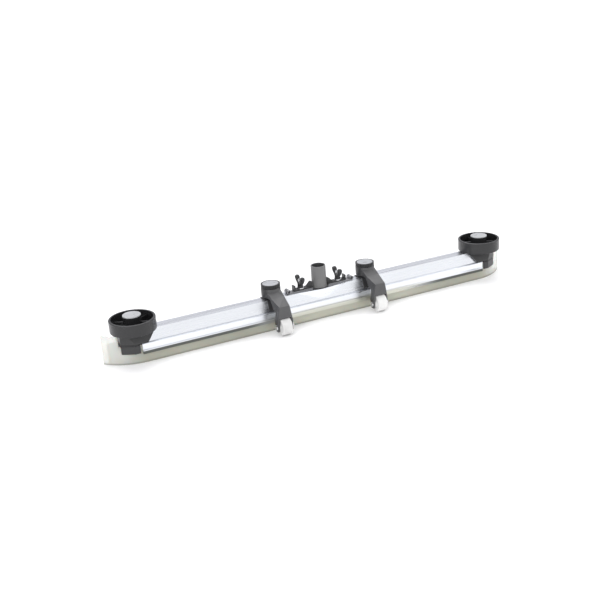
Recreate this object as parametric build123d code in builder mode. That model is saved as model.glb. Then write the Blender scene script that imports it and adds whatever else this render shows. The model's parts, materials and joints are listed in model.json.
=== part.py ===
"""Floor squeegee bar with hose port, bumper wheels and height-adjustable support wheels.

Millimetres, +Z up, +X along the bar. The pieces are drawn about the bar's own centre plane,
y = 0, and `save` moves each of them by SHIFT_Y, so that the row's origin is at the bottom
centre of the whole object. The working side, with the support wheels, faces -Y.
"""

import os

from build123d import *

os.makedirs("parts", exist_ok=True)

# Beam: a folded channel, open below
TOP_Z = 69.0            # flat top above the floor
TOP_HALF = 13.2         # half the width of the flat top
SIDE_HALF = 21.3        # half the width over the vertical sides
CREASE_Z = 44.5         # where the sloping sides turn vertical
SIDE_BOTTOM_Z = 24.0
SHEET = 2.0
HIP_TOP_X = 400.0       # the flat top ends here
HIP_BASE_X = 421.0      # and the beam ends here
GUSSET_HALF = 62.0      # pressed triangle below the port
GUSSET_OUT = 21.0

# Lips, and the strips that clamp them
LIP = 3.2
LIP_TOP_Z = 41.0
LIP_BEND_X = 424.0      # the rear lip bends from here,
LIP_BEND_R = 110.4      # round this radius
LIP_BEND_DEG = 51.0
LIP_EAR_DEG = 31.0      # and stands taller from here
EAR_TOP_Z = 65.0
FRONT_LIP_X = 498.0
STRIP = 1.6
STRIP_X = 434.0
STRIP_TOP_Z = 44.3
HEM_TOP_Z = 28.5
HEM_Z = 20.5
HEM_OUT = 1.7
STRIP_BOLTS = 7
STRIP_BOLT_PITCH = 130.0
STRIP_BOLT_Z = 36.5
M6 = 3.0
NUT_6 = 5.0             # half the width across flats
NUT_6_H = 5.0
BOLT_REACH = 9.0        # of a shank inside the beam
HEAD_6_H = 4.0

# Hose port
PORT_R = 17.0
PORT_BORE_R = 14.0
PORT_H = 51.3           # above the beam
SEAL = 1.5
SHOULDER_R = 18.6
SHOULDER_H = 2.0
SPIGOT_R = 15.5
SPIGOT_L = 10.0
LOCK_R = 17.8
LOCK_H = 7.0

# Suspension plates, studs and wing nuts
PLATE_IN_X = 19.6
PLATE_OUT_X = 80.0
PLATE_W = 16.0
PLATE_T = 3.0
EYE_R = 5.0
EYE_BORE_R = 3.0
STUD_X = 47.7
STUD_R = 4.0
STUD_H = 28.0           # above the beam
STUD_HEAD_R = 7.0
STUD_HEAD_H = 2.5
STRAP_T = 3.5
STRAP_TAB_T = 3.5
STRAP_W = 14.0
STRAP_IN_X = 19.6
STRAP_OUT_X = 66.0
STRAP_TAB_H = 9.0
STRAP_WEB_H = 10.5
STRAP_WEB_W = 10.0
STRAP_WEB_L = 14.0
WASHER_R = 8.5
WASHER_T = 1.6
WING_HUB_R = 7.0
WING_HUB_H = 12.0
WING_TIP_H = 36.0       # above the beam
WING_TIP_Y = 14.0
WING_TIP_R = 5.0
WING_T = 4.5

# End blocks
BLOCK_OUT_X = 477.0
BLOCK_HALF = 27.0
BLOCK_CHAMFER_X = 451.0
BLOCK_CHAMFER_Y = 12.0
BLOCK_TOP_HALF = 19.5   # half the upper block's width at its top
BLOCK_DRAFT_Z = 47.5    # where the upper block's sides lean in
BLOCK_STEP = 2.0        # from the beam's top down to the upper block's
CORE_BOTTOM_Z = 24.0
REBATE_Z = 41.6         # the lower block steps in above this
REBATE = 1.5
CLAMP_IN_X = 439.0
TENON_X = 378.0         # the tenon inside the beam starts here
TENON_Z = 25.0
TENON_TOP_Z = 41.6
BLOCK_SCREW_X = (426.0, 464.0)
BLOCK_SCREW_HEAD_H = 6.0
BLOCK_SCREW_UP = 14.0   # of a screw inside the upper block

# Bumper wheels
BUMPER_X = 442.0
BUMPER_R = 50.0
BUMPER_AIR = 0.8        # over the beam
BUMPER_H = 27.0
RIM_WALL = 5.0
WEB_RISE = 4.2          # from the wheel's underside
WEB_T = 4.0
RIB_T = 3.0
RIB_RISE = 18.2
RIBS = 6
WINDOW_R = 7.5
WINDOW_AT_R = 33.0
HUB_R = 10.0
CUP_RISE = 17.7         # to the underside of the cup at the top of the hub
CUP_T = 2.4
CUP_WALL = 2.5
CAP_R = 19.5
CAP_RISE = 32.0
CAP_T = 2.4
CAP_PLUG = 2.0
SLEEVE_R = 6.5
SLEEVE_FLANGE_R = 9.5
SLEEVE_FLANGE_T = 2.4
AXLE_R = 5.0
AXLE_WASHER_R = 9.0
AXLE_WASHER_T = 1.6
NUT_10 = 8.0            # half the width across flats
NUT_10_H = 8.0
HEAD_10_H = 6.4

# Supports: housing, arm and fork in one piece, with knob, spindle and guide
SUPPORT_X = 120.7
HOUSING_R = 22.0
HOUSING_AIR = 5.6       # from the beam up to the housing: down-travel and the guide's foot
HOUSING_H = 19.7
HOUSING_ROOF = 5.3
GUIDE_SIDE = 24.0
GUIDE_H = 13.0
GUIDE_FOOT_T = 1.4
GUIDE_FOOT_L = 44.0
LEG_T = 2.4
LEG_X0 = -17.0
LEG_X1 = 6.0
LEG_RISE = 2.0          # of the leg's lower end above the crease
LEG_BOLT_X = -3.0
LEG_BOLT_DOWN = (7.0, 16.0)
LEG_BOLT_R = 2.5
LEG_HEAD_R = 3.8
LEG_HEAD_H = 3.0
LEG_NUT = 4.0
LEG_NUT_H = 3.0
SPINDLE_R = 5.0
SPINDLE_REACH = 9.0     # below the beam's top
SPINDLE_COVER = 2.5     # of knob over its upper end
COLLAR_R = 8.0
COLLAR_T = 2.0
KNOB_R = 21.7
KNOB_AIR = 0.3
KNOB_H = 8.4
KNOB_INLAY_R = 18.0
KNOB_INLAY_T = 2.0
FLUTES = 30
FLUTE_R = 0.8
ARM_HALF = 16.5         # the arm's half widths at the housing,
ARM_MID_HALF = 16.0     # at its knee
ARM_END_HALF = 12.5     # and at its rear face
ARM_Y = (-8.0, -20.0, -35.0, -68.0)
ARM_TOP_DOWN = (1.3, 6.3, 14.8, 26.3)
ARM_LOW_Y = (-30.0, -44.0)
ARM_LOW_DOWN = 22.6     # from the housing's underside to the arm's low end
FORK_TOP_HALF = 12.5
FORK_WIDE_Z = 32.0
FORK_TIP_Z = 10.5
FORK_TIP_Y = 6.0
FORK_SIDE_Y = 8.0
FORK_STRAIGHT_Z = 36.0
FORK_HALF = 18.5
CHEEK = 4.5
SWHEEL_R = 20.0
SWHEEL_W = 23.0
SWHEEL_Y = -60.0
SWHEEL_BOSS_R = 8.0
SWHEEL_AIR = 1.5        # from the tread to the fork
SAXLE_R = 4.0
SAXLE_HEAD_R = 6.0
SAXLE_HEAD_T = 2.2

# Fits
RUN = 0.05              # radial running clearance
GAP = 0.4               # clearance of pieces that pass each other
FIT = 0.05              # clearance of fixed pieces in their holes

# Heights that follow from the sizes above
PORT_TOP_Z = TOP_Z + PORT_H
STUD_TOP_Z = TOP_Z + STUD_H
WING_TIP_Z = TOP_Z + WING_TIP_H
BLOCK_TOP_Z = TOP_Z - BLOCK_STEP
BUMPER_BOTTOM_Z = TOP_Z + BUMPER_AIR
BUMPER_TOP_Z = BUMPER_BOTTOM_Z + BUMPER_H
WEB_Z = BUMPER_BOTTOM_Z + WEB_RISE
RIB_TOP_Z = BUMPER_BOTTOM_Z + RIB_RISE
CUP_Z = BUMPER_BOTTOM_Z + CUP_RISE
CAP_Z = BUMPER_BOTTOM_Z + CAP_RISE
CAP_TOP_Z = CAP_Z + CAP_T
HOUSING_Z = TOP_Z + HOUSING_AIR
HOUSING_TOP_Z = HOUSING_Z + HOUSING_H
POCKET_TOP_Z = HOUSING_TOP_Z - HOUSING_ROOF
GUIDE_TOP_Z = TOP_Z + GUIDE_H
LEG_BOTTOM_Z = CREASE_Z + LEG_RISE
LEG_BOLT_Z = [TOP_Z - down for down in LEG_BOLT_DOWN]
KNOB_Z = HOUSING_TOP_Z + KNOB_AIR
KNOB_TOP_Z = KNOB_Z + KNOB_H
SPINDLE_END_Z = TOP_Z - SPINDLE_REACH
SPINDLE_TOP_Z = KNOB_TOP_Z - SPINDLE_COVER
ARM_TOP_Z = [HOUSING_TOP_Z - down for down in ARM_TOP_DOWN]
ARM_LOW_Z = HOUSING_Z - ARM_LOW_DOWN

SHIFT_Y = (SWHEEL_R - SWHEEL_Y - BUMPER_R) / 2
SIDES = {"left": -1, "right": 1}


def save(name, part):
    """Label a piece, move it from the bar's centre plane to the row's frame and write it."""
    piece = part.moved(Location((0, SHIFT_Y, 0)))
    piece.label = name
    export_step(piece, f"parts/{name}.step")


def ring(outer, inner, bottom, height, x=0.0, y=0.0):
    """A plain upright ring or, with no inner radius, a disc."""
    with BuildPart() as body:
        with BuildSketch(Plane.XY.offset(bottom)):
            with Locations((x, y)):
                Circle(outer)
                if inner:
                    Circle(inner, mode=Mode.SUBTRACT)
        extrude(amount=height)
    return body.part


def join(pieces):
    """Separate solids that share one node."""
    return Compound([solid for piece in pieces for solid in piece.solids()])


# ---------------------------------------------------------------- beam

def channel_section(bottom):
    """Corners of the channel's outer section, as (y, z)."""
    return [
        (-SIDE_HALF, bottom),
        (-SIDE_HALF, CREASE_Z),
        (-TOP_HALF, TOP_Z),
        (TOP_HALF, TOP_Z),
        (SIDE_HALF, CREASE_Z),
        (SIDE_HALF, bottom),
    ]


def channel_elevation(bottom):
    """Corners of the channel's outer elevation with its hipped ends, as (x, z)."""
    return [
        (-HIP_BASE_X, bottom),
        (-HIP_BASE_X, CREASE_Z),
        (-HIP_TOP_X, TOP_Z),
        (HIP_TOP_X, TOP_Z),
        (HIP_BASE_X, CREASE_Z),
        (HIP_BASE_X, bottom),
    ]


def outer_form():
    """The beam without its cavity."""
    with BuildPart() as form:
        with BuildSketch(Plane.YZ.offset(-HIP_BASE_X)):
            with BuildLine():
                Polyline(channel_section(SIDE_BOTTOM_Z), close=True)
            make_face()
        extrude(amount=2 * HIP_BASE_X)
        with BuildSketch(Plane.XZ.offset(-SIDE_HALF)):
            with BuildLine():
                Polyline(channel_elevation(SIDE_BOTTOM_Z), close=True)
            make_face()
        extrude(amount=2 * SIDE_HALF, mode=Mode.INTERSECT)
    return form.part


def cavity_form():
    """The channel's cavity, inset by the sheet and open below and, under the crease, endways."""
    below = SIDE_BOTTOM_Z - 3 * SHEET
    with BuildPart() as form:
        with BuildSketch(Plane.YZ.offset(-HIP_BASE_X)):
            with BuildLine():
                Polyline(channel_section(below), close=True)
            make_face()
            offset(amount=-SHEET, kind=Kind.INTERSECTION, mode=Mode.REPLACE)
        extrude(amount=2 * HIP_BASE_X)
        with BuildSketch(Plane.XZ.offset(-SIDE_HALF)):
            with BuildLine():
                Polyline(channel_elevation(below), close=True)
            make_face()
            offset(amount=-SHEET, kind=Kind.INTERSECTION, mode=Mode.REPLACE)
            with Locations((0, below)):
                Rectangle(
                    2 * HIP_BASE_X,
                    CREASE_Z - SHEET - below,
                    align=(Align.CENTER, Align.MIN),
                )
        extrude(amount=2 * SIDE_HALF, mode=Mode.INTERSECT)
    return form.part


def gusset(side, inset=0.0):
    """The pressed triangle that widens the flat top under the port on one side."""
    half = GUSSET_HALF - 2 * inset
    top_y = TOP_HALF - inset
    with BuildPart() as form:
        with BuildSketch(Plane.XY.offset(TOP_Z - inset)) as top:
            with BuildLine():
                Polyline(
                    (-half, side * top_y),
                    (0, side * (GUSSET_OUT - inset)),
                    (half, side * top_y),
                    (0, 0),
                    close=True,
                )
            make_face()
        loft(sections=[top.sketch.face(), Vertex(0, side * (SIDE_HALF - inset), CREASE_Z)])
    return form.part


def beam():
    """Folded sheet channel with hipped ends, a pressed gusset and its holes."""
    shell = outer_form() + gusset(-1) + gusset(1)
    shell = shell - cavity_form() - gusset(-1, SHEET) - gusset(1, SHEET)
    with BuildPart() as body:
        add(shell)
        with BuildSketch(Plane.XY.offset(TOP_Z)):
            Circle(SPIGOT_R + FIT)
            with GridLocations(2 * STUD_X, 1, 2, 1):
                Circle(STUD_R + FIT)
            with GridLocations(2 * SUPPORT_X, 1, 2, 1):
                Circle(SPINDLE_R + 1)
        extrude(amount=-2 * SHEET, mode=Mode.SUBTRACT)
        add(strip_rods(M6 + FIT, 0, 2 * SIDE_HALF), mode=Mode.SUBTRACT)
        for knob_x in (-SUPPORT_X, SUPPORT_X):
            for z in LEG_BOLT_Z:
                rod = leg_rod(LEG_BOLT_R + FIT, z, LEG_T, -2 * SHEET)
                add(rod.moved(Location((knob_x, 0, 0))), mode=Mode.SUBTRACT)
    return body.part


# ---------------------------------------------------------------- lips and strips

def strip_rods(radius, first, length, count=STRIP_BOLTS, sides=0):
    """Rods at the strip bolts, from y = first - length / 2; hexagons if sides is 6."""
    with BuildPart() as rods:
        with BuildSketch(Plane.XZ.offset(-first - length / 2)):
            with Locations((0, STRIP_BOLT_Z)):
                with GridLocations(STRIP_BOLT_PITCH, 1, count, 1):
                    if sides:
                        RegularPolygon(radius, sides, major_radius=False)
                    else:
                        Circle(radius)
        extrude(amount=length)
    return rods.part


def bend_y():
    """Centre of the rear lip's bend."""
    return -SIDE_HALF - LIP / 2 + LIP_BEND_R


def bend_sector(outer, inner, first_deg, bottom, top):
    """An upright wall round the bend of the right end, between two radii."""
    centre = (LIP_BEND_X, bend_y())
    sweep_deg = LIP_BEND_DEG - first_deg
    with BuildPart() as wall:
        with BuildSketch(Plane.XY.offset(bottom)):
            with BuildLine():
                far = CenterArc(centre, outer, first_deg - 90, sweep_deg)
                near = CenterArc(centre, inner, first_deg - 90, sweep_deg)
                Line(far @ 0, near @ 0)
                Line(far @ 1, near @ 1)
            make_face()
        extrude(amount=top - bottom)
    return wall.part


def slab(x0, x1, y0, y1, z0, z1):
    """A box between two corners."""
    with BuildPart() as box:
        with BuildSketch(Plane.XY.offset(z0)):
            with Locations(((x0 + x1) / 2, (y0 + y1) / 2)):
                Rectangle(x1 - x0, y1 - y0)
        extrude(amount=z1 - z0)
    return box.part


def rear_lip():
    """The blade on the working side: straight, bent round both ends, with taller ears."""
    outer = LIP_BEND_R + LIP / 2
    inner = LIP_BEND_R - LIP / 2
    straight = slab(0, LIP_BEND_X, -SIDE_HALF - LIP, -SIDE_HALF, 0, LIP_TOP_Z)
    bend = bend_sector(outer, inner, 0, 0, LIP_TOP_Z)
    ear = bend_sector(outer, inner, LIP_EAR_DEG, LIP_TOP_Z, EAR_TOP_Z)
    right = straight + bend + ear
    return right + mirror(right, Plane.YZ) - strip_rods(M6 + FIT, 0, 3 * SIDE_HALF)


def front_lip():
    """The straight blade on the other side."""
    blade = slab(-FRONT_LIP_X, FRONT_LIP_X, SIDE_HALF, SIDE_HALF + LIP, 0, LIP_TOP_Z)
    return blade - strip_rods(M6 + FIT, 0, 3 * SIDE_HALF)


def rear_strip():
    """Steel strip with a folded hem along its lower edge."""
    inner = -SIDE_HALF - LIP
    with BuildPart() as strip:
        with BuildSketch(Plane.YZ.offset(-STRIP_X)):
            with BuildLine():
                Polyline(
                    (inner, HEM_Z),
                    (inner, STRIP_TOP_Z),
                    (inner - STRIP, STRIP_TOP_Z),
                    (inner - STRIP, HEM_TOP_Z + HEM_OUT),
                    (inner - STRIP - HEM_OUT, HEM_TOP_Z),
                    (inner - STRIP - HEM_OUT, HEM_Z),
                    close=True,
                )
            make_face()
        extrude(amount=2 * STRIP_X)
    return strip.part


def front_strip():
    """The rear strip's mirror image, with screw holes."""
    return mirror(rear_strip(), Plane.XZ) - strip_rods(M6 + FIT, 0, 3 * SIDE_HALF)


def strip_fasteners():
    """Weld studs at the rear, hexagon screws in front, and the nuts inside the beam."""
    inside = SIDE_HALF - SHEET
    under = SIDE_HALF + LIP
    shank = under - inside + BOLT_REACH
    middle = (under + inside - BOLT_REACH) / 2
    studs = strip_rods(M6, -middle, shank)
    long_shank = shank + STRIP
    screws = strip_rods(M6, middle + STRIP / 2, long_shank)
    heads = strip_rods(NUT_6, under + STRIP + HEAD_6_H / 2, HEAD_6_H, sides=6)
    nut_y = inside - NUT_6_H / 2
    nuts = strip_rods(NUT_6, nut_y, NUT_6_H, STRIP_BOLTS - 2, 6)
    nuts = nuts - strip_rods(M6 + FIT, 0, 2 * SIDE_HALF)
    return studs, screws + heads, nuts, mirror(nuts, Plane.XZ)


# ---------------------------------------------------------------- hose port

def hose_port():
    """Tube with a shoulder above the beam and a spigot through it."""
    base = TOP_Z + SEAL
    tube = ring(PORT_R, PORT_BORE_R, base, PORT_TOP_Z - base)
    shoulder = ring(SHOULDER_R, PORT_BORE_R, base, SHOULDER_H)
    spigot = ring(SPIGOT_R, PORT_BORE_R, TOP_Z - SPIGOT_L, SPIGOT_L + SEAL)
    return tube + shoulder + spigot


def port_seal():
    """Flat ring under the port's shoulder."""
    return ring(SHOULDER_R, SPIGOT_R + FIT, TOP_Z, SEAL)


def port_nut():
    """Round nut that holds the port from inside the beam."""
    return ring(LOCK_R, SPIGOT_R + FIT, TOP_Z - SHEET - LOCK_H, LOCK_H)


# ---------------------------------------------------------------- suspension

def mounting_plate():
    """Flat bar on the beam whose outer end is curled into an eye."""
    top = TOP_Z + PLATE_T
    bar = slab(PLATE_IN_X, PLATE_OUT_X, -PLATE_W / 2, PLATE_W / 2, TOP_Z, top)
    with BuildPart() as eye:
        with BuildSketch(Plane.XZ.offset(-PLATE_W / 2)):
            with Locations((PLATE_OUT_X, TOP_Z + EYE_R)):
                Circle(EYE_R)
        extrude(amount=PLATE_W)
    with BuildPart() as bore:
        with BuildSketch(Plane.XZ.offset(-PLATE_W / 2)):
            with Locations((PLATE_OUT_X, TOP_Z + EYE_R)):
                Circle(EYE_BORE_R)
        extrude(amount=PLATE_W)
    return bar + eye.part - bore.part - ring(STUD_R + FIT, 0, TOP_Z, PLATE_T, STUD_X)


def strap():
    """Upper strap with an upright tab at its outer end and a brace towards the port."""
    base = TOP_Z + PLATE_T
    top = base + STRAP_T
    half = STRAP_W / 2
    bar = slab(STRAP_IN_X, STRAP_OUT_X, -half, half, base, top)
    tab_x = STRAP_OUT_X - STRAP_TAB_T
    tab = slab(tab_x, STRAP_OUT_X, -half, half, top, top + STRAP_TAB_H)
    with BuildPart() as web:
        with BuildSketch(Plane.XZ.offset(-STRAP_WEB_W / 2)):
            with BuildLine():
                Polyline(
                    (STRAP_IN_X, top),
                    (STRAP_IN_X, top + STRAP_WEB_H),
                    (STRAP_IN_X + STRAP_T, top + STRAP_WEB_H),
                    (STRAP_IN_X + STRAP_WEB_L, top),
                    close=True,
                )
            make_face()
        extrude(amount=STRAP_WEB_W)
    return bar + tab + web.part - ring(STUD_R + FIT, 0, base, STRAP_T, STUD_X)


def washer_z():
    """Underside of the washers under the wing nuts."""
    return TOP_Z + PLATE_T + STRAP_T


def mount_stud():
    """Stud with its head inside the beam."""
    head_z = TOP_Z - SHEET - STUD_HEAD_H
    shank = ring(STUD_R, 0, head_z, STUD_TOP_Z - head_z, STUD_X)
    return shank + ring(STUD_HEAD_R, 0, head_z, STUD_HEAD_H, STUD_X)


def wing_nut():
    """Moulded nut with two round lobes across the bar."""
    base = washer_z() + WASHER_T + GAP
    hub = ring(WING_HUB_R, 0, base, WING_HUB_H)
    lobe_z = WING_TIP_Z - WING_TIP_R
    with BuildPart() as wings:
        with BuildSketch(Plane.YZ.offset(-WING_T / 2)):
            with BuildLine():
                Polyline(
                    (-WING_HUB_R + 1, base + 2),
                    (-WING_TIP_Y - WING_TIP_R + 1, lobe_z - 1),
                    (-WING_TIP_Y + WING_TIP_R / 2, WING_TIP_Z - 1),
                    (0, base + WING_HUB_H + 1),
                    (WING_TIP_Y - WING_TIP_R / 2, WING_TIP_Z - 1),
                    (WING_TIP_Y + WING_TIP_R - 1, lobe_z - 1),
                    (WING_HUB_R - 1, base + 2),
                    close=True,
                )
            make_face()
            with Locations((-WING_TIP_Y, lobe_z), (WING_TIP_Y, lobe_z)):
                Circle(WING_TIP_R)
        extrude(amount=WING_T)
    bore = ring(STUD_R + RUN, 0, base, WING_TIP_Z - base)
    return (hub + wings.part - bore).moved(Location((STUD_X, 0, 0)))


# ---------------------------------------------------------------- end blocks

def block_outline(inset=0.0):
    """Corners of the right end blocks seen from above."""
    half = BLOCK_HALF - inset
    out_x = BLOCK_OUT_X - inset
    return [
        (CLAMP_IN_X, -half),
        (BLOCK_CHAMFER_X, -half),
        (out_x, -BLOCK_CHAMFER_Y),
        (out_x, half),
        (CLAMP_IN_X, half),
    ]


def block_screw_bores(radius, bottom, top):
    """Rods at the two vertical screws of an end."""
    first = ring(radius, 0, bottom, top - bottom, BLOCK_SCREW_X[0])
    return first + ring(radius, 0, bottom, top - bottom, BLOCK_SCREW_X[1])


def hexagon(half, bottom, height, x=0.0):
    """An upright hexagonal prism."""
    with BuildPart() as prism:
        with BuildSketch(Plane.XY.offset(bottom)):
            with Locations((x, 0)):
                RegularPolygon(half, 6, major_radius=False)
        extrude(amount=height)
    return prism.part


def lower_block():
    """Moulding that plugs the beam's end and holds both lips in slots."""
    with BuildPart() as body:
        with BuildSketch(Plane.XY.offset(CORE_BOTTOM_Z)):
            with BuildLine():
                Polyline(block_outline(), close=True)
            make_face()
        extrude(amount=REBATE_Z - CORE_BOTTOM_Z)
        with BuildSketch(Plane.XY.offset(REBATE_Z)):
            with BuildLine():
                Polyline(block_outline(REBATE), close=True)
            make_face()
        extrude(amount=CREASE_Z - REBATE_Z)
    inside = SIDE_HALF - SHEET - FIT
    tenon = slab(TENON_X, CLAMP_IN_X, -inside, inside, TENON_Z, TENON_TOP_Z)
    bridge = slab(HIP_BASE_X + FIT, CLAMP_IN_X, -inside, inside, TENON_TOP_Z, CREASE_Z)
    slot_top = LIP_TOP_Z + GAP / 2
    outer = LIP_BEND_R + LIP / 2 + FIT
    inner = LIP_BEND_R - LIP / 2 - FIT
    rear_slot = bend_sector(outer, inner, 0, CORE_BOTTOM_Z, slot_top)
    front_in = SIDE_HALF - FIT
    front_out = SIDE_HALF + LIP + FIT
    front_slot = slab(CLAMP_IN_X, BLOCK_OUT_X, front_in, front_out, CORE_BOTTOM_Z, slot_top)
    block = body.part + tenon + bridge - rear_slot - front_slot
    for end in (-1, 1):
        bores = strip_rods(M6 + FIT, end * (inside - BOLT_REACH / 2), BOLT_REACH + 1)
        block = block - bores
    block = block - ring(AXLE_R + FIT, 0, CORE_BOTTOM_Z, CREASE_Z - CORE_BOTTOM_Z, BUMPER_X)
    block = block - hexagon(NUT_10 + FIT, CORE_BOTTOM_Z, NUT_10_H + 1, BUMPER_X)
    head_top = TENON_Z + BLOCK_SCREW_HEAD_H
    block = block - block_screw_bores(M6 + FIT, CORE_BOTTOM_Z, CREASE_Z)
    return block - block_screw_bores(NUT_6 + GAP, CORE_BOTTOM_Z, head_top)


def upper_block():
    """Block on the beam's hipped end that carries the bumper wheel."""
    slope = (HIP_BASE_X - HIP_TOP_X) / (TOP_Z - CREASE_Z)
    top_x = HIP_BASE_X - slope * (BLOCK_TOP_Z - CREASE_Z)
    with BuildPart() as body:
        with BuildSketch(Plane.XY.offset(CREASE_Z)):
            with BuildLine():
                Polyline(
                    (top_x, -BLOCK_HALF),
                    (BLOCK_CHAMFER_X, -BLOCK_HALF),
                    (BLOCK_OUT_X, -BLOCK_CHAMFER_Y),
                    (BLOCK_OUT_X, BLOCK_HALF),
                    (top_x, BLOCK_HALF),
                    close=True,
                )
            make_face()
        extrude(amount=BLOCK_TOP_Z - CREASE_Z)
        with BuildSketch(Plane.XZ.offset(-BLOCK_HALF)):
            with BuildLine():
                Polyline(
                    (HIP_BASE_X, CREASE_Z),
                    (top_x, BLOCK_TOP_Z),
                    (BLOCK_OUT_X, BLOCK_TOP_Z),
                    (BLOCK_OUT_X, CREASE_Z),
                    close=True,
                )
            make_face()
        extrude(amount=2 * BLOCK_HALF, mode=Mode.INTERSECT)
        with BuildSketch(Plane.YZ.offset(top_x)):
            with BuildLine():
                Polyline(
                    (-BLOCK_HALF, CREASE_Z),
                    (-BLOCK_HALF, BLOCK_DRAFT_Z),
                    (-BLOCK_TOP_HALF, BLOCK_TOP_Z),
                    (BLOCK_TOP_HALF, BLOCK_TOP_Z),
                    (BLOCK_HALF, BLOCK_DRAFT_Z),
                    (BLOCK_HALF, CREASE_Z),
                    close=True,
                )
            make_face()
        extrude(amount=BLOCK_OUT_X - top_x, mode=Mode.INTERSECT)
    block = body.part - ring(AXLE_R + FIT, 0, CREASE_Z, BLOCK_TOP_Z - CREASE_Z, BUMPER_X)
    return block - block_screw_bores(M6 + FIT, CREASE_Z, CREASE_Z + BLOCK_SCREW_UP + 1)


def block_screws():
    """The two screws that draw the upper block down on the lower one."""
    head_top = TENON_Z + BLOCK_SCREW_HEAD_H
    shanks = block_screw_bores(M6, TENON_Z, CREASE_Z + BLOCK_SCREW_UP)
    heads = block_screw_bores(NUT_6, TENON_Z, head_top)
    return shanks + heads


# ---------------------------------------------------------------- bumper wheels

def hub_seat_z():
    """Top of the hub, just below the axle washer."""
    return CUP_Z + CUP_T


def sleeve_top_z():
    """Top of the sleeve that the axle bolt clamps."""
    return hub_seat_z() + GAP


def bumper_wheel():
    """Dished wheel: rim, web with windows, ribs, and a hub that opens into a cup."""
    bottom = BUMPER_BOTTOM_Z
    height = BUMPER_TOP_Z - bottom
    inner = BUMPER_R - RIM_WALL
    rim = ring(BUMPER_R, inner, bottom, height)
    with BuildPart() as rounded:
        add(rim)
        edges = rounded.edges().filter_by(GeomType.CIRCLE).sort_by(SortBy.RADIUS)
        fillet(edges[-2:], radius=RIM_WALL / 3)
    web = ring(inner, 0, WEB_Z, WEB_T)
    with BuildPart() as ribs:
        with BuildSketch(Plane.XY.offset(WEB_Z + WEB_T)):
            with PolarLocations(inner / 2, RIBS, start_angle=30):
                Rectangle(inner + RIM_WALL / 2, RIB_T)
        extrude(amount=RIB_TOP_Z - WEB_Z - WEB_T)
    with BuildPart() as windows:
        with BuildSketch(Plane.XY.offset(WEB_Z)):
            with PolarLocations(WINDOW_AT_R, RIBS):
                Circle(WINDOW_R)
        extrude(amount=WEB_T)
    hub = ring(HUB_R, 0, bottom, CUP_Z + CUP_T - bottom)
    cup = ring(CAP_R, 0, CUP_Z, CAP_Z - CUP_Z) - ring(CAP_R - CUP_WALL, 0, hub_seat_z(), CAP_Z)
    wheel = rounded.part + (web - windows.part) + ribs.part + hub
    wheel = wheel - ring(CAP_R, 0, hub_seat_z(), BUMPER_TOP_Z) + cup
    return wheel - ring(SLEEVE_R + RUN, 0, bottom, hub_seat_z() - bottom)


def hub_cap():
    """Disc on the hub's cup with a shallow plug."""
    plug = ring(CAP_R - CUP_WALL - FIT, 0, CAP_Z - CAP_PLUG, CAP_PLUG)
    with BuildPart() as disc:
        add(ring(CAP_R, 0, CAP_Z, CAP_TOP_Z - CAP_Z))
        fillet(disc.edges().group_by(Axis.Z)[-1], radius=(CAP_TOP_Z - CAP_Z) / 2)
    return disc.part + plug


def wheel_sleeve():
    """Flanged sleeve that the wheel turns on."""
    tube = ring(SLEEVE_R, AXLE_R + FIT, BLOCK_TOP_Z, sleeve_top_z() - BLOCK_TOP_Z)
    return tube + ring(SLEEVE_FLANGE_R, AXLE_R + FIT, BLOCK_TOP_Z, SLEEVE_FLANGE_T)


def axle_washer():
    """Washer that keeps the wheel on its sleeve."""
    return ring(AXLE_WASHER_R, AXLE_R + FIT, sleeve_top_z(), AXLE_WASHER_T)


def axle_bolt():
    """Hexagon bolt down through the sleeve and both blocks."""
    under_head = sleeve_top_z() + AXLE_WASHER_T
    end = CORE_BOTTOM_Z + 1
    return ring(AXLE_R, 0, end, under_head - end) + hexagon(NUT_10, under_head, HEAD_10_H)


def axle_nut():
    """Nut in the lower block's pocket."""
    bottom = CORE_BOTTOM_Z + 1
    return hexagon(NUT_10, bottom, NUT_10_H) - ring(AXLE_R + FIT, 0, bottom, NUT_10_H)


# ---------------------------------------------------------------- supports

def leg_rod(radius, z, first, length, sides=0):
    """A rod square to the beam's rear slope at height z, from `first` outside it."""
    run = SIDE_HALF - TOP_HALF
    rise = TOP_Z - CREASE_Z
    y = -TOP_HALF - run * (TOP_Z - z) / rise
    slope = Plane(origin=(LEG_BOLT_X, y, z), x_dir=(1, 0, 0), z_dir=(0, -rise, run))
    with BuildPart() as rod:
        with BuildSketch(slope.offset(first)):
            if sides:
                RegularPolygon(radius, sides, major_radius=False)
            else:
                Circle(radius)
        extrude(amount=length - first if length < 0 else length)
    return rod.part


def guide_base():
    """Square guide column on a foot, with a leg down the beam's rear slope."""
    half = GUIDE_SIDE / 2
    foot_l = GUIDE_FOOT_L / 2
    foot_top = TOP_Z + GUIDE_FOOT_T
    column = slab(-half, half, -half, half, TOP_Z, GUIDE_TOP_Z)
    foot = slab(-foot_l, foot_l, -TOP_HALF, TOP_HALF, TOP_Z, foot_top)
    run = SIDE_HALF - TOP_HALF
    rise = TOP_Z - CREASE_Z
    low_y = -TOP_HALF - run * (TOP_Z - LEG_BOTTOM_Z) / rise
    out = Vector(-rise, run).normalized() * LEG_T
    with BuildPart() as leg:
        with BuildSketch(Plane.YZ.offset(LEG_X0)):
            with BuildLine():
                Polyline(
                    (-TOP_HALF, TOP_Z),
                    (low_y, LEG_BOTTOM_Z),
                    (low_y + out.X, LEG_BOTTOM_Z + out.Y),
                    (-TOP_HALF + out.X, TOP_Z + out.Y),
                    (-TOP_HALF, foot_top),
                    close=True,
                )
            make_face()
        extrude(amount=LEG_X1 - LEG_X0)
    base = column + foot + leg.part - ring(SPINDLE_R + RUN, 0, TOP_Z, GUIDE_TOP_Z - TOP_Z)
    for z in LEG_BOLT_Z:
        base = base - leg_rod(LEG_BOLT_R + FIT, z, 2 * LEG_T, -LEG_T)
    return base


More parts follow.
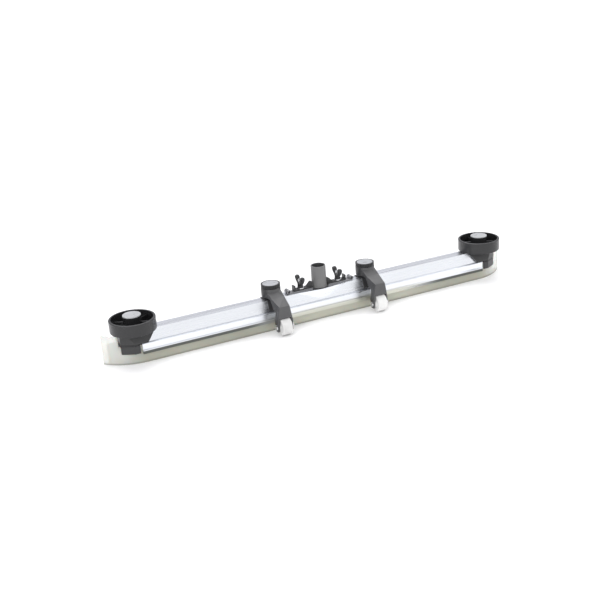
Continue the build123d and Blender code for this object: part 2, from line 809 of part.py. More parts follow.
def guide_bolts():
    """Two bolts through the leg and the beam's slope."""
    bolts = []
    for z in LEG_BOLT_Z:
        shank = leg_rod(LEG_BOLT_R, z, LEG_T, -SHEET - LEG_NUT_H - 1)
        bolts.append(shank + leg_rod(LEG_HEAD_R, z, LEG_T, LEG_HEAD_H))
    return bolts


def guide_nuts():
    """Their nuts inside the beam."""
    nuts = []
    for z in LEG_BOLT_Z:
        nut = leg_rod(LEG_NUT, z, -SHEET, -SHEET - LEG_NUT_H, 6)
        nuts.append(nut - leg_rod(LEG_BOLT_R + FIT, z, 0, -SHEET - LEG_NUT_H - 1))
    return nuts


def arm():
    """The part of the bracket that reaches back over the lip, narrowing to the rear."""
    y0, y1, y2, y3 = ARM_Y
    z0, z1, z2, z3 = ARM_TOP_Z
    with BuildPart() as body:
        with BuildSketch(Plane.YZ.offset(-ARM_HALF)):
            with BuildLine():
                Polyline(
                    (0, HOUSING_Z),
                    (ARM_LOW_Y[0], HOUSING_Z),
                    (ARM_LOW_Y[1], ARM_LOW_Z),
                    (y3, ARM_LOW_Z),
                    (y3, z3),
                    (y2, z2),
                    (y1, z1),
                    (y0, z0),
                    (0, z0),
                    close=True,
                )
            make_face()
        extrude(amount=2 * ARM_HALF)
        with BuildSketch(Plane.XY.offset(ARM_LOW_Z)):
            with BuildLine():
                Polyline(
                    (-ARM_HALF, 0),
                    (-ARM_HALF, y1),
                    (-ARM_MID_HALF, y2),
                    (-ARM_END_HALF, y3),
                    (ARM_END_HALF, y3),
                    (ARM_MID_HALF, y2),
                    (ARM_HALF, y1),
                    (ARM_HALF, 0),
                    close=True,
                )
            make_face()
        extrude(amount=HOUSING_TOP_Z - ARM_LOW_Z, mode=Mode.INTERSECT)
    return body.part


def fork():
    """The downward fork at the arm's end, flaring to two cheeks beside the wheel."""
    back = SWHEEL_Y - FORK_SIDE_Y
    front = SWHEEL_Y + FORK_SIDE_Y
    top = ARM_TOP_Z[3]
    with BuildPart() as body:
        with BuildSketch(Plane.YZ.offset(-FORK_HALF)):
            with BuildLine():
                Polyline(
                    (back, top),
                    (back, FORK_STRAIGHT_Z),
                    (SWHEEL_Y - FORK_TIP_Y, FORK_TIP_Z),
                    (SWHEEL_Y + FORK_TIP_Y, FORK_TIP_Z),
                    (front, FORK_STRAIGHT_Z),
                    (front, top),
                    close=True,
                )
            make_face()
        extrude(amount=2 * FORK_HALF)
        with BuildSketch(Plane.XZ.offset(-front)):
            with BuildLine():
                Polyline(
                    (-FORK_TOP_HALF, top),
                    (-FORK_HALF, FORK_WIDE_Z),
                    (-FORK_HALF, FORK_TIP_Z),
                    (FORK_HALF, FORK_TIP_Z),
                    (FORK_HALF, FORK_WIDE_Z),
                    (FORK_TOP_HALF, top),
                    close=True,
                )
            make_face()
        extrude(amount=front - back, mode=Mode.INTERSECT)
    return body.part


def cross_rod(radius, first, last):
    """A rod along X on the support wheel's axis."""
    with BuildPart() as rod:
        with BuildSketch(Plane.YZ.offset(first)):
            with Locations((SWHEEL_Y, SWHEEL_R)):
                Circle(radius)
        extrude(amount=last - first)
    return rod.part


def support_bracket():
    """Housing, arm and fork in one moulding."""
    housing = ring(HOUSING_R, 0, HOUSING_Z, HOUSING_TOP_Z - HOUSING_Z)
    body = housing + arm() + fork()
    half = GUIDE_SIDE / 2 + GAP
    body = body - slab(-half, half, -half, half, HOUSING_Z, POCKET_TOP_Z)
    body = body - ring(SPINDLE_R + RUN, 0, POCKET_TOP_Z, HOUSING_TOP_Z - POCKET_TOP_Z)
    inside = FORK_HALF - CHEEK
    body = body - cross_rod(SWHEEL_R + SWHEEL_AIR, -inside, inside)
    return body - cross_rod(SAXLE_R + FIT, -FORK_HALF, FORK_HALF)


def support_wheel():
    """Solid wheel with a boss on each side."""
    with BuildPart() as tread:
        add(cross_rod(SWHEEL_R, -SWHEEL_W / 2, SWHEEL_W / 2))
        fillet(tread.edges(), radius=1.5)
    boss_half = FORK_HALF - CHEEK - GAP
    bosses = cross_rod(SWHEEL_BOSS_R, -boss_half, boss_half)
    return tread.part + bosses - cross_rod(SAXLE_R + RUN, -boss_half, boss_half)


def support_axle():
    """Headed pin through the fork and the wheel."""
    pin = cross_rod(SAXLE_R, -FORK_HALF, FORK_HALF + SAXLE_HEAD_T + 1)
    return pin + cross_rod(SAXLE_HEAD_R, -FORK_HALF - SAXLE_HEAD_T, -FORK_HALF)


def support_axle_nut():
    """Thin nut on the pin's far end."""
    nut = cross_rod(SAXLE_HEAD_R, FORK_HALF, FORK_HALF + SAXLE_HEAD_T)
    return nut - cross_rod(SAXLE_R + FIT, FORK_HALF, FORK_HALF + SAXLE_HEAD_T)


def spindle():
    """Screw that the knob turns, with the collar that lifts the bracket."""
    rod = ring(SPINDLE_R, 0, SPINDLE_END_Z, SPINDLE_TOP_Z - SPINDLE_END_Z)
    return rod + ring(COLLAR_R, 0, POCKET_TOP_Z - GAP - COLLAR_T, COLLAR_T)


def height_knob():
    """Fluted knob with a recess for its inlay."""
    with BuildPart() as flutes:
        with BuildSketch(Plane.XY.offset(KNOB_Z)):
            with PolarLocations(KNOB_R, FLUTES):
                Circle(FLUTE_R)
        extrude(amount=KNOB_TOP_Z - KNOB_Z)
    knob = ring(KNOB_R, 0, KNOB_Z, KNOB_TOP_Z - KNOB_Z) - flutes.part
    inlay_z = KNOB_TOP_Z - KNOB_INLAY_T
    knob = knob - ring(KNOB_INLAY_R + FIT, 0, inlay_z, KNOB_INLAY_T)
    return knob - ring(SPINDLE_R + FIT, 0, KNOB_Z, SPINDLE_TOP_Z - KNOB_Z)


def knob_inlay():
    """Disc in the knob's top."""
    return ring(KNOB_INLAY_R, 0, KNOB_TOP_Z - KNOB_INLAY_T, KNOB_INLAY_T)


# ---------------------------------------------------------------- the pieces

def save_pair(name, part, x=0.0, turned=False):
    """Write the right-hand piece at x and its copy at the left, mirrored if turned."""
    right = part.moved(Location((x, 0, 0)))
    left = mirror(right, Plane.YZ) if turned else part.moved(Location((-x, 0, 0)))
    save(name + "_left", left)
    save(name + "_right", right)


save("beam", beam())
save("rear_lip", rear_lip())
save("front_lip", front_lip())
save("rear_clamp_strip", rear_strip())
save("front_clamp_strip", front_strip())
rear_studs, front_screws, front_nuts, rear_nuts = strip_fasteners()
save("rear_strip_studs", rear_studs)
save("rear_strip_nuts", rear_nuts)
save("front_strip_screws", front_screws)
save("front_strip_nuts", front_nuts)

save("hose_port", hose_port())
save("port_seal", port_seal())
save("port_lock_nut", port_nut())

save_pair("mounting_plate", mounting_plate(), turned=True)
save_pair("strap", strap(), turned=True)
stud = mount_stud()
save("mount_studs", join([stud, mirror(stud, Plane.YZ)]))
mount_washer = ring(WASHER_R, STUD_R + FIT, washer_z(), WASHER_T, STUD_X)
save("mount_washers", join([mount_washer, mirror(mount_washer, Plane.YZ)]))
save_pair("wing_nut", wing_nut(), turned=True)

save_pair("lower_end_block", lower_block(), turned=True)
save_pair("upper_end_block", upper_block(), turned=True)
screws = block_screws()
save("end_block_screws", join([screws, mirror(screws, Plane.YZ)]))

save_pair("bumper_wheel", bumper_wheel(), BUMPER_X)
save_pair("hub_cap", hub_cap(), BUMPER_X)
save_pair("wheel_sleeve", wheel_sleeve(), BUMPER_X)
save_pair("axle_washer", axle_washer(), BUMPER_X)
save_pair("axle_bolt", axle_bolt(), BUMPER_X)
save_pair("axle_nut", axle_nut(), BUMPER_X)

save_pair("guide_base", guide_base(), SUPPORT_X)
for side, sign in SIDES.items():
    place = Location((sign * SUPPORT_X, 0, 0))
    save("guide_bolts_" + side, join([bolt.moved(place) for bolt in guide_bolts()]))
    save("guide_nuts_" + side, join([nut.moved(place) for nut in guide_nuts()]))
save_pair("support_bracket", support_bracket(), SUPPORT_X)
save_pair("support_wheel", support_wheel(), SUPPORT_X)
save_pair("support_axle", support_axle(), SUPPORT_X)
save_pair("support_axle_nut", support_axle_nut(), SUPPORT_X)
save_pair("spindle", spindle(), SUPPORT_X)
save_pair("height_knob", height_knob(), SUPPORT_X)
save_pair("knob_inlay", knob_inlay(), SUPPORT_X)
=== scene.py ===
import json
import math

import bpy
import bmesh
from mathutils import Matrix, Vector


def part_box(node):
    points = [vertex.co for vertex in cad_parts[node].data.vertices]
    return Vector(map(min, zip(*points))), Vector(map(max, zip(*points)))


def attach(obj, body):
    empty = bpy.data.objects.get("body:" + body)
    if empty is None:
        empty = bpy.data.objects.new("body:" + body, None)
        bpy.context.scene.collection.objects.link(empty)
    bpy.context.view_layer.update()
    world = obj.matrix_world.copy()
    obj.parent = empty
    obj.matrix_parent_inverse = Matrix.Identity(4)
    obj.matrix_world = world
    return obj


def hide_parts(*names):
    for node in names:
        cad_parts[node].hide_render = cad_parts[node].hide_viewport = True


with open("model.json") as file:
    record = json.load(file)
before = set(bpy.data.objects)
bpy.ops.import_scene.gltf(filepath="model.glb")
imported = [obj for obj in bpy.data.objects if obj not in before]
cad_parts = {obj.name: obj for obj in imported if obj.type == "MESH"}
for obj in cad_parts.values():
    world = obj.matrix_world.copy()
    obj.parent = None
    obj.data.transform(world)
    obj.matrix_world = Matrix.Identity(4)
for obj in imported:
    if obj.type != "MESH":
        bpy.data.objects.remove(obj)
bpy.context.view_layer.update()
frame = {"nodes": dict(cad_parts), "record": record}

nodes = frame["nodes"]
scene = bpy.context.scene
SIDES = ("left", "right")


def middle(name, axis):
    """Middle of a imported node's box along one axis."""
    low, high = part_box(name)
    return (low[axis] + high[axis]) / 2


beam_y = middle("beam", 1)


# ---------------------------------------------------------------- materials

# Places where a tone changes; ranges run from where it starts to where it is complete
HIGHLIGHT_X = 0.06                    # middle of the painted highlight on lip and strip
LIP_HIGHLIGHT = (0.12, 0.28)          # distance from the middle over which the lip's painted highlight fades
STRIP_REFLECTION = (0.12, 0.26)        # and over which the strip's painted bright reflection gives way to its painted dark reflection
CLEAR_LIP_X = (0.425, 0.475)     # the lips turn paler and clearer here
LIP_EDGE_Z = (0.0, 0.006)        # dark lower edge
HEM_DARK_REFLECTION_Z = (0.0278, 0.0262)    # painted dark reflection along the hem
HEM_BRIGHT_REFLECTION_Z = (0.0350, 0.0255)   # painted bright reflection on the strip, in a beige tone
PARTING_Z = 0.0445               # joint between the end blocks
PARTING_HALF = 0.0013
LEVEL_FACE = (0.80, 0.95)        # upward part of the normal on the pressed triangles
FLAT_TOP_HALF = (0.0128, 0.0136)  # half width of the beam's flat top, which isn't tinted
PORT_BORE_SHADE_R = (0.0146, 0.0142)   # between the port's wall and its bore, where the painted shade begins
SHADED_SIDE_FACE = (0.55, 0.9)          # part of the normal along the row on the brackets' sides, which are painted darker as shade


def start_material(name):
    material = bpy.data.materials.new(name)
    material.use_nodes = True
    tree = material.node_tree
    return material, tree, tree.nodes["Principled BSDF"]


def object_noise(tree, scale, stretch=(1, 1, 1), detail=3.0, roughness=0.5):
    """Noise in the row's frame, optionally stretched."""
    coordinates = tree.nodes.new("ShaderNodeTexCoord")
    mapping = tree.nodes.new("ShaderNodeMapping")
    mapping.inputs["Scale"].default_value = stretch
    noise = tree.nodes.new("ShaderNodeTexNoise")
    noise.inputs["Scale"].default_value = scale
    noise.inputs["Detail"].default_value = detail
    noise.inputs["Roughness"].default_value = roughness
    tree.links.new(coordinates.outputs["Object"], mapping.inputs["Vector"])
    tree.links.new(mapping.outputs["Vector"], noise.inputs["Vector"])
    return noise.outputs["Fac"]


def two_tones(tree, factor, dark, light, low=0.3, high=0.7):
    """A colour that runs from dark to light with the factor."""
    ramp = tree.nodes.new("ShaderNodeValToRGB")
    ramp.color_ramp.elements[0].position = low
    ramp.color_ramp.elements[1].position = high
    ramp.color_ramp.elements[0].color = (*dark, 1)
    ramp.color_ramp.elements[1].color = (*light, 1)
    tree.links.new(factor, ramp.inputs["Fac"])
    return ramp.outputs["Color"]


def to_range(tree, factor, low, high):
    """The factor mapped from 0.3..0.7 to low..high."""
    node = tree.nodes.new("ShaderNodeMapRange")
    node.inputs["From Min"].default_value = 0.3
    node.inputs["From Max"].default_value = 0.7
    node.inputs["To Min"].default_value = low
    node.inputs["To Max"].default_value = high
    tree.links.new(factor, node.inputs["Value"])
    return node.outputs["Result"]


def bump(tree, height, strength, distance, shader):
    node = tree.nodes.new("ShaderNodeBump")
    node.inputs["Strength"].default_value = strength
    node.inputs["Distance"].default_value = distance
    tree.links.new(height, node.inputs["Height"])
    tree.links.new(node.outputs["Normal"], shader.inputs["Normal"])


def place(tree, axis, source="Object"):
    """One coordinate of a surface point in the row's frame, in metres, or of its normal."""
    coordinates = tree.nodes.new("ShaderNodeTexCoord")
    split = tree.nodes.new("ShaderNodeSeparateXYZ")
    tree.links.new(coordinates.outputs[source], split.inputs["Vector"])
    return split.outputs[axis]


def calculate(tree, operation, first, second=0.0):
    node = tree.nodes.new("ShaderNodeMath")
    node.operation = operation
    for socket, value in zip(node.inputs, (first, second)):
        if isinstance(value, (int, float)):
            socket.default_value = value
        else:
            tree.links.new(value, socket)
    return node.outputs["Value"]


def away_from(tree, value, center):
    """Distance of a value from a center."""
    return calculate(tree, "ABSOLUTE", calculate(tree, "SUBTRACT", value, center))


def ease(tree, value, start, end, low=0.0, high=1.0):
    """low up to start, high from end, smooth between."""
    node = tree.nodes.new("ShaderNodeMapRange")
    node.interpolation_type = "SMOOTHSTEP"
    node.inputs["From Min"].default_value = start
    node.inputs["From Max"].default_value = end
    node.inputs["To Min"].default_value = low
    node.inputs["To Max"].default_value = high
    tree.links.new(value, node.inputs["Value"])
    return node.outputs["Result"]


def from_axis(tree, x, y):
    """Distance of a surface point from an upright axis."""
    across = calculate(tree, "SUBTRACT", place(tree, "X"), x)
    along = calculate(tree, "SUBTRACT", place(tree, "Y"), y)
    square = calculate(tree, "ADD", calculate(tree, "MULTIPLY", across, across),
                       calculate(tree, "MULTIPLY", along, along))
    return calculate(tree, "SQRT", square)


def blend_colors(tree, factor, first, second):
    """first where the factor is 0, second where it is 1; each a colour or a link."""
    node = tree.nodes.new("ShaderNodeMix")
    node.data_type = "RGBA"
    tree.links.new(factor, node.inputs["Factor"])
    for name, value in (("A", first), ("B", second)):
        if isinstance(value, tuple):
            node.inputs[name].default_value = (*value, 1)
        else:
            tree.links.new(value, node.inputs[name])
    return node.outputs["Result"]


def tint(material, factor, color):
    """Blends a colour over the material's own where the factor is 1."""
    tree = material.node_tree
    base = tree.nodes["Principled BSDF"].inputs["Base Color"]
    tree.links.new(blend_colors(tree, factor, base.links[0].from_socket, color), base)


def scaled(color, factor):
    return tuple(min(1.0, c * factor) for c in color)


def plastic(name, color, rough, grain=900.0, depth=0.00006, contrast=0.12):
    """Moulded plastic with a fine grain and a slightly uneven tone."""
    material, tree, shader = start_material(name)
    cloud = object_noise(tree, 22.0, detail=5.0)
    tone = two_tones(tree, cloud, scaled(color, 1 - contrast), scaled(color, 1 + contrast))
    tree.links.new(tone, shader.inputs["Base Color"])
    tree.links.new(to_range(tree, cloud, rough - 0.06, rough + 0.08), shader.inputs["Roughness"])
    bump(tree, object_noise(tree, grain, detail=2.0), 0.35, depth, shader)
    shader.inputs["Specular IOR Level"].default_value = 0.45
    return material


def steel(name, color, rough, stretch, depth=0.00002, contrast=0.05):
    """Brushed or rolled steel, its scratches running along the unstretched axis."""
    material, tree, shader = start_material(name)
    lines = object_noise(tree, 260.0, stretch, detail=4.0)
    cloud = object_noise(tree, 9.0, (0.35, 1, 1), detail=3.0)
    tone = two_tones(tree, cloud, scaled(color, 1 - contrast), scaled(color, 1 + contrast))
    tree.links.new(tone, shader.inputs["Base Color"])
    tree.links.new(to_range(tree, lines, rough - 0.05, rough + 0.07), shader.inputs["Roughness"])
    bump(tree, lines, 0.25, depth, shader)
    shader.inputs["Metallic"].default_value = 1.0
    return material


def blade(name, color, edge, pale):
    """Cloudy, see-through polyurethane: darker at its lower edge, paler and clearer at its ends, with a
    painted highlight along its middle.
    """
    material, tree, shader = start_material(name)
    cloud = object_noise(tree, 30.0, (0.25, 1, 1), detail=4.0)
    tone = two_tones(tree, cloud, scaled(color, 0.94), scaled(color, 1.05))
    # Painted highlight: the lip is painted paler along its middle stretch
    aside = ease(tree, away_from(tree, place(tree, "X"), HIGHLIGHT_X), *LIP_HIGHLIGHT)
    tone = blend_colors(tree, aside, scaled(color, 1.3), tone)
    end = ease(tree, calculate(tree, "ABSOLUTE", place(tree, "X")), *CLEAR_LIP_X)
    tone = blend_colors(tree, end, tone, pale)
    above_edge = ease(tree, place(tree, "Z"), *LIP_EDGE_Z)
    tone = blend_colors(tree, above_edge, edge, tone)
    tree.links.new(tone, shader.inputs["Base Color"])
    tree.links.new(to_range(tree, cloud, 0.30, 0.45), shader.inputs["Roughness"])
    bump(tree, object_noise(tree, 160.0, (0.3, 1, 1)), 0.2, 0.00008, shader)
    tree.links.new(ease(tree, end, 0.0, 1.0, 0.72, 0.50), shader.inputs["Alpha"])
    shader.inputs["Subsurface Weight"].default_value = 0.25
    shader.inputs["Subsurface Scale"].default_value = 0.004
    return material


ALONG = (0.012, 1, 1)
# By material slot; a piece in own_looks has its own instead
looks = {
    "stainless": steel("stainless_sheet", (0.78, 0.80, 0.84), 0.27, ALONG),
    "zinc_steel": steel("zinc_plate", (0.74, 0.74, 0.76), 0.25, (1, 1, 1)),
    "lip": blade("polyurethane", (0.47, 0.47, 0.395), (0.30, 0.30, 0.25), (0.70, 0.71, 0.66)),
    "black_plastic": plastic("black_moulding", (0.040, 0.040, 0.042), 0.36),
    "white_plastic": plastic("white_moulding", (0.70, 0.70, 0.69), 0.40),
}
slots = {entry["node"]: entry["material_slot"] for entry in frame["record"]["subparts"]}


def clamp_strip():
    """The clamp strip's steel, with a painted dark reflection along its hem and a painted beige
    reflection near the middle.
    """
    material = steel("hemmed_strip", (0.80, 0.82, 0.86), 0.30, ALONG)
    tree = material.node_tree
    reach = ease(tree, away_from(tree, place(tree, "X"), HIGHLIGHT_X), *STRIP_REFLECTION)
    near = calculate(tree, "SUBTRACT", 1.0, reach)
    # Painted reflection: a bright beige tone low on the strip near the middle
    bright_reflection = calculate(tree, "MULTIPLY", ease(tree, place(tree, "Z"), *HEM_BRIGHT_REFLECTION_Z), near)
    # Painted dark reflection along the hem, away from the middle; the steel is made less metallic there
    # too
    dark = calculate(tree, "MULTIPLY", ease(tree, place(tree, "Z"), *HEM_DARK_REFLECTION_Z), reach)
    tint(material, bright_reflection, (0.56, 0.56, 0.49))
    tint(material, dark, (0.075, 0.08, 0.072))
    metallic = tree.nodes["Principled BSDF"].inputs["Metallic"]
    tree.links.new(ease(tree, dark, 0.0, 1.0, 1.0, 0.2), metallic)
    return material


def bracket_moulding():
    """The brackets' plastic, with painted shade on the faces that look along the row."""
    material = plastic("bracket_moulding", (0.075, 0.075, 0.077), 0.40, grain=700.0, depth=0.0001)
    tree = material.node_tree
    aside = calculate(tree, "ABSOLUTE", place(tree, "X", "Normal"))
    # Painted shade on the faces that look along the row
    tint(material, ease(tree, aside, *SHADED_SIDE_FACE, 0.0, 0.75), (0.012, 0.012, 0.013))
    return material


def block_moulding():
    """The end blocks' plastic, with a black line where the two blocks meet."""
    material = plastic("block_moulding", (0.032, 0.032, 0.033), 0.36)
    tree = material.node_tree
    away = away_from(tree, place(tree, "Z"), PARTING_Z)
    tint(material, ease(tree, away, PARTING_HALF, PARTING_HALF * 0.6), (0.004, 0.004, 0.004))
    return material


def beam_sheet():
    """The beam's stainless sheet, with a painted dim reflection on the pressed triangles at the port."""
    material = steel("beam_sheet", (0.78, 0.80, 0.84), 0.27, ALONG)
    tree = material.node_tree
    level = ease(tree, place(tree, "Z", "Normal"), *LEVEL_FACE)
    outward = away_from(tree, place(tree, "Y"), beam_y)
    # Painted reflection: level faces beside the flat top are painted the grey of a dim reflection
    dim_reflection = calculate(tree, "MULTIPLY", level, ease(tree, outward, *FLAT_TOP_HALF))
    tint(material, dim_reflection, (0.52, 0.52, 0.54))
    return material


def port_moulding():
    """The port's grey plastic, with painted shade down its bore."""
    material = plastic("port_moulding", (0.150, 0.150, 0.150), 0.34)
    tree = material.node_tree
    outward = from_axis(tree, middle("hose_port", 0), beam_y)
    # Painted shade down the bore
    tint(material, ease(tree, outward, *PORT_BORE_SHADE_R), (0.035, 0.035, 0.036))
    return material


def turned_cap(node, color, pitch):
    """Light plastic with fine turned rings about the node's upright axis."""
    material = plastic(f"{node}_look", color, 0.30)
    tree = material.node_tree
    outward = from_axis(tree, middle(node, 0), middle(node, 1))
    rings = calculate(tree, "SINE", calculate(tree, "MULTIPLY", outward, 2 * math.pi / pitch))
    bump(tree, rings, 0.35, 0.00012, tree.nodes["Principled BSDF"])
    return material


own_looks = {
    "beam": beam_sheet(),
    "rear_clamp_strip": clamp_strip(),
    "front_clamp_strip": clamp_strip(),
    "hose_port": port_moulding(),
}
strap_look = plastic("strap_coating", (0.020, 0.020, 0.021), 0.38, grain=500.0)
block_look = block_moulding()
paired_looks = {
    "support_bracket": bracket_moulding(),
    "upper_end_block": block_look,
    "lower_end_block": block_look,
    "bumper_wheel": plastic("wheel_moulding", (0.020, 0.020, 0.021), 0.20, grain=500.0),
    "height_knob": plastic("knob_moulding", (0.012, 0.012, 0.013), 0.30),
    "strap": strap_look,
    "wing_nut": strap_look,
    "mounting_plate": steel("plate_steel", (0.27, 0.27, 0.28), 0.42, (1, 0.2, 1), 0.00005, 0.15),
}
for side in SIDES:
    for stem, look in paired_looks.items():
        own_looks[f"{stem}_{side}"] = look
    own_looks[f"hub_cap_{side}"] = turned_cap(f"hub_cap_{side}", (0.42, 0.43, 0.44), 0.0045)
    own_looks[f"knob_inlay_{side}"] = turned_cap(f"knob_inlay_{side}", (0.40, 0.41, 0.43), 0.0060)

for name, piece in nodes.items():
    piece.data.materials.clear()
    piece.data.materials.append(own_looks.get(name) or looks[slots[name]])


# ---------------------------------------------------------------- rounded edges

def soften(piece, width, segments=2, angle=32.0):
    """Breaks the sharp edges of a moulded or folded piece."""
    weld = piece.modifiers.new("weld", "WELD")
    weld.merge_threshold = 0.000002
    bevel = piece.modifiers.new("edges", "BEVEL")
    bevel.width = width
    bevel.segments = segments
    bevel.limit_method = "ANGLE"
    bevel.angle_limit = math.radians(angle)
    bevel.use_clamp_overlap = True
    bevel.harden_normals = True


ROUNDED = {
    "support_bracket": 0.0016,
    "upper_end_block": 0.0014,
    "lower_end_block": 0.0010,
    "strap": 0.0007,
    "mounting_plate": 0.0004,
    "guide_base": 0.0005,
    "hose_port": 0.0007,
    "height_knob": 0.0007,
}
for stem, width in ROUNDED.items():
    for name, piece in nodes.items():
        if name == stem or name in (f"{stem}_left", f"{stem}_right"):
            soften(piece, width)


# ---------------------------------------------------------------- folds over the lips' upper edges

FOLD_LAP = 0.0030        # how far the fold reaches down behind the strip's face
FOLD_INSET = 0.0001      # it stands this far inside the face
FOLD_SINK = 0.0002       # and below the strip's top
FOLD_THICK = 0.0018
FOLD_END = 0.0005        # shorter than the strip at each end
BEAM_AIR = 0.00005       # from the fold to the beam's side


def top_fold(name, strip, away):
    """The strip's upper edge, folded over the lip to the beam; away is the side's direction in Y."""
    low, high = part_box(strip)
    face = low[1] if away < 0 else high[1]
    top = high[2]
    beam_low, beam_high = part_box("beam")
    beam_side = beam_low[1] - BEAM_AIR if away < 0 else beam_high[1] + BEAM_AIR
    section = [
        (face - away * FOLD_INSET, top - FOLD_LAP),
        (face - away * FOLD_INSET, top - 0.0010),
        (face - away * 0.0006, top - 0.0004),
        (face - away * 0.0014, top - FOLD_SINK),
        (beam_side, top - FOLD_SINK),
        (beam_side, top - FOLD_SINK - FOLD_THICK),
        (face - away * 0.0010, top - FOLD_LAP),
    ]
    bm = bmesh.new()
    ends = (low[0] + FOLD_END, high[0] - FOLD_END)
    first, last = [[bm.verts.new((x, y, z)) for y, z in section] for x in ends]
    count = len(section)
    for k in range(count):
        after = (k + 1) % count
        bm.faces.new((first[k], first[after], last[after], last[k]))
    bm.faces.new(first)
    bm.faces.new(list(reversed(last)))
    bmesh.ops.recalc_face_normals(bm, faces=bm.faces)
    mesh = bpy.data.meshes.new(name)
    bm.to_mesh(mesh)
    bm.free()
    piece = bpy.data.objects.new(name, mesh)
    scene.collection.objects.link(piece)
    mesh.materials.append(looks["stainless"])
    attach(piece, "bar")


top_fold("rear_top_fold", "rear_clamp_strip", -1)
top_fold("front_top_fold", "front_clamp_strip", 1)


# ---------------------------------------------------------------- wing nuts

RING = 16                # points round a lobe
VOXEL = 0.0006           # of the remesh that joins hub and lobes

# The hub's two cones: bottom and top as shares of the height, lower and upper radius
HUB_CONES = ((0.0, 0.35, 0.0068, 0.0062), (0.25, 0.52, 0.0062, 0.0048))
# A lobe's middle line as shares of the half width and the height, with its half thickness and half height
LOBE = (
    (0.05, 0.22, 0.0050, 0.0050),
    (0.26, 0.34, 0.0048, 0.0054),
    (0.44, 0.48, 0.0048, 0.0058),
    (0.58, 0.62, 0.0053, 0.0061),
    (0.68, 0.76, 0.0058, 0.0062),
    (0.74, 0.88, 0.0050, 0.0050),
    (0.76, 0.94, 0.0024, 0.0024),
)


def tube(bm, path, widths):
    """Closed rounded bar along (y, z) points; widths are half thickness in x and half height."""
    rings = []
    for index, (y, z) in enumerate(path):
        before = path[max(index - 1, 0)]
        after = path[min(index + 1, len(path) - 1)]
        run = Vector((0, after[0] - before[0], after[1] - before[1])).normalized()
        side = Vector((0, -run.z, run.y))
        thick, tall = widths[index]
        ring = []
        for step in range(RING):
            angle = 2 * math.pi * step / RING
            ring.append(bm.verts.new(Vector((0, y, z)) + Vector((thick * math.cos(angle), 0, 0))
                                     + side * tall * math.sin(angle)))
        rings.append(ring)
    for first, second in zip(rings, rings[1:]):
        for k in range(RING):
            after = (k + 1) % RING
            bm.faces.new((first[k], first[after], second[after], second[k]))
    bm.faces.new(list(reversed(rings[0])))
    bm.faces.new(rings[-1])


def wing_nut(side):
    """Rounded hub and lobes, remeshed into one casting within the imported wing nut's box."""
    node = f"wing_nut_{side}"
    low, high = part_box(node)
    half = (high[1] - low[1]) / 2
    tall = high[2] - low[2]
    bm = bmesh.new()
    for bottom, top, low_r, high_r in HUB_CONES:
        cone = Matrix.Translation((0, 0, tall * (bottom + top) / 2))
        bmesh.ops.create_cone(bm, cap_ends=True, segments=40, radius1=low_r, radius2=high_r,
                              depth=tall * (top - bottom), matrix=cone)
    for way in (-1, 1):
        path = [(way * half * out, tall * up) for out, up, thick, high_half in LOBE]
        tube(bm, path, [(thick, high_half) for out, up, thick, high_half in LOBE])
    mesh = bpy.data.meshes.new(f"wing_nut_shape_{side}")
    bm.to_mesh(mesh)
    bm.free()
    piece = bpy.data.objects.new(f"wing_nut_shape_{side}", mesh)
    piece.location = (middle(node, 0), middle(node, 1), low[2])
    scene.collection.objects.link(piece)
    remesh = piece.modifiers.new("cast", "REMESH")
    remesh.mode = "VOXEL"
    remesh.voxel_size = VOXEL
    remesh.use_smooth_shade = True
    smooth = piece.modifiers.new("flow", "SMOOTH")
    smooth.factor = 0.5
    smooth.iterations = 6
    mesh.materials.append(strap_look)
    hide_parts(node)
    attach(piece, node)


for side in SIDES:
    wing_nut(side)


# ---------------------------------------------------------------- camera, floor and light

LENS = 59.28             # mm, on a sensor 36 mm wide
CAMERA_AT = Vector((-0.9315, -1.8916, 0.8431))
turn = math.radians(24.79)   # from looking along +Y towards +X
down = math.radians(20.77)
roll = math.radians(4.15)

camera_data = bpy.data.cameras.new("camera")
camera_data.sensor_width = 36.0
camera_data.lens = LENS
camera = bpy.data.objects.new("camera", camera_data)
scene.collection.objects.link(camera)
level_right = Vector((math.cos(turn), -math.sin(turn), 0))
ahead = Vector((math.sin(turn), math.cos(turn), 0))
forward = ahead * math.cos(down) - Vector((0, 0, 1)) * math.sin(down)
upright = ahead * math.sin(down) + Vector((0, 0, 1)) * math.cos(down)
right = level_right * math.cos(roll) - upright * math.sin(roll)
up = level_right * math.sin(roll) + upright * math.cos(roll)
pose = Matrix((right, up, -forward)).transposed().to_4x4()
pose.translation = CAMERA_AT
camera.matrix_world = pose
scene.camera = camera

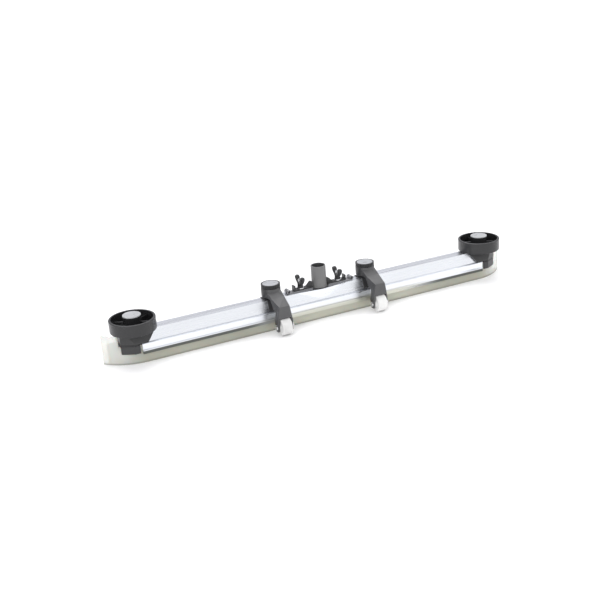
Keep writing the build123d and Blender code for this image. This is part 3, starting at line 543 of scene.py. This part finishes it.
FLOOR_HALF = 20.0
floor_mesh = bpy.data.meshes.new("floor")
corners = [(FLOOR_HALF * x, FLOOR_HALF * y) for x, y in ((-1, -1), (1, -1), (1, 1), (-1, 1))]
floor_mesh.from_pydata([(x, y, 0) for x, y in corners], [], [(0, 1, 2, 3)])
floor = bpy.data.objects.new("floor", floor_mesh)
scene.collection.objects.link(floor)
floor_look, floor_tree, floor_shader = start_material("pale_floor")
floor_shader.inputs["Base Color"].default_value = (0.95, 0.95, 0.95, 1)
floor_shader.inputs["Roughness"].default_value = 0.7
floor_shader.inputs["Specular IOR Level"].default_value = 0.2
floor_mesh.materials.append(floor_look)

# White in front of the bar and at the horizon, dimmer overhead and behind it
world = bpy.data.worlds.new("studio")
scene.world = world
world.use_nodes = True
world_tree = world.node_tree
background = world_tree.nodes["Background"]
sky_place = world_tree.nodes.new("ShaderNodeTexCoord")
sky_split = world_tree.nodes.new("ShaderNodeSeparateXYZ")
world_tree.links.new(sky_place.outputs["Generated"], sky_split.inputs["Vector"])
behind = ease(world_tree, sky_split.outputs["Y"], -0.10, 0.35)
above = ease(world_tree, sky_split.outputs["Z"], 0.05, 0.25)
dim = calculate(world_tree, "MULTIPLY", behind, above)
zenith = ease(world_tree, sky_split.outputs["Z"], 0.40, 0.75)
sky = blend_colors(world_tree, zenith, (1.0, 1.0, 1.0), (0.66, 0.66, 0.68))
sky = blend_colors(world_tree, dim, sky, (0.58, 0.58, 0.61))
world_tree.links.new(sky, background.inputs["Color"])
background.inputs["Strength"].default_value = 1.12


LIT_POINT = Vector((0, 0, 0.05))


def softbox(name, spot, width, height, power):
    """A rectangular light that looks at the bar's middle."""
    light = bpy.data.lights.new(name, "AREA")
    light.shape = "RECTANGLE"
    light.size = width
    light.size_y = height
    light.energy = power
    lamp = bpy.data.objects.new(name, light)
    scene.collection.objects.link(lamp)
    lamp.location = spot
    lamp.rotation_euler = (LIT_POINT - Vector(spot)).to_track_quat("-Z", "Y").to_euler()


softbox("key", (-2.6, -1.6, 3.0), 2.4, 1.8, 42)
softbox("side", (2.4, -0.6, 1.6), 1.4, 1.4, 12)

sun_data = bpy.data.lights.new("overhead", "SUN")
sun_data.energy = 1.5
sun_data.angle = math.radians(50)
sun = bpy.data.objects.new("overhead", sun_data)
scene.collection.objects.link(sun)
sun.rotation_euler = Vector((-0.15, -0.42, -1.0)).to_track_quat("-Z", "Y").to_euler()

scene.view_settings.view_transform = "Standard"
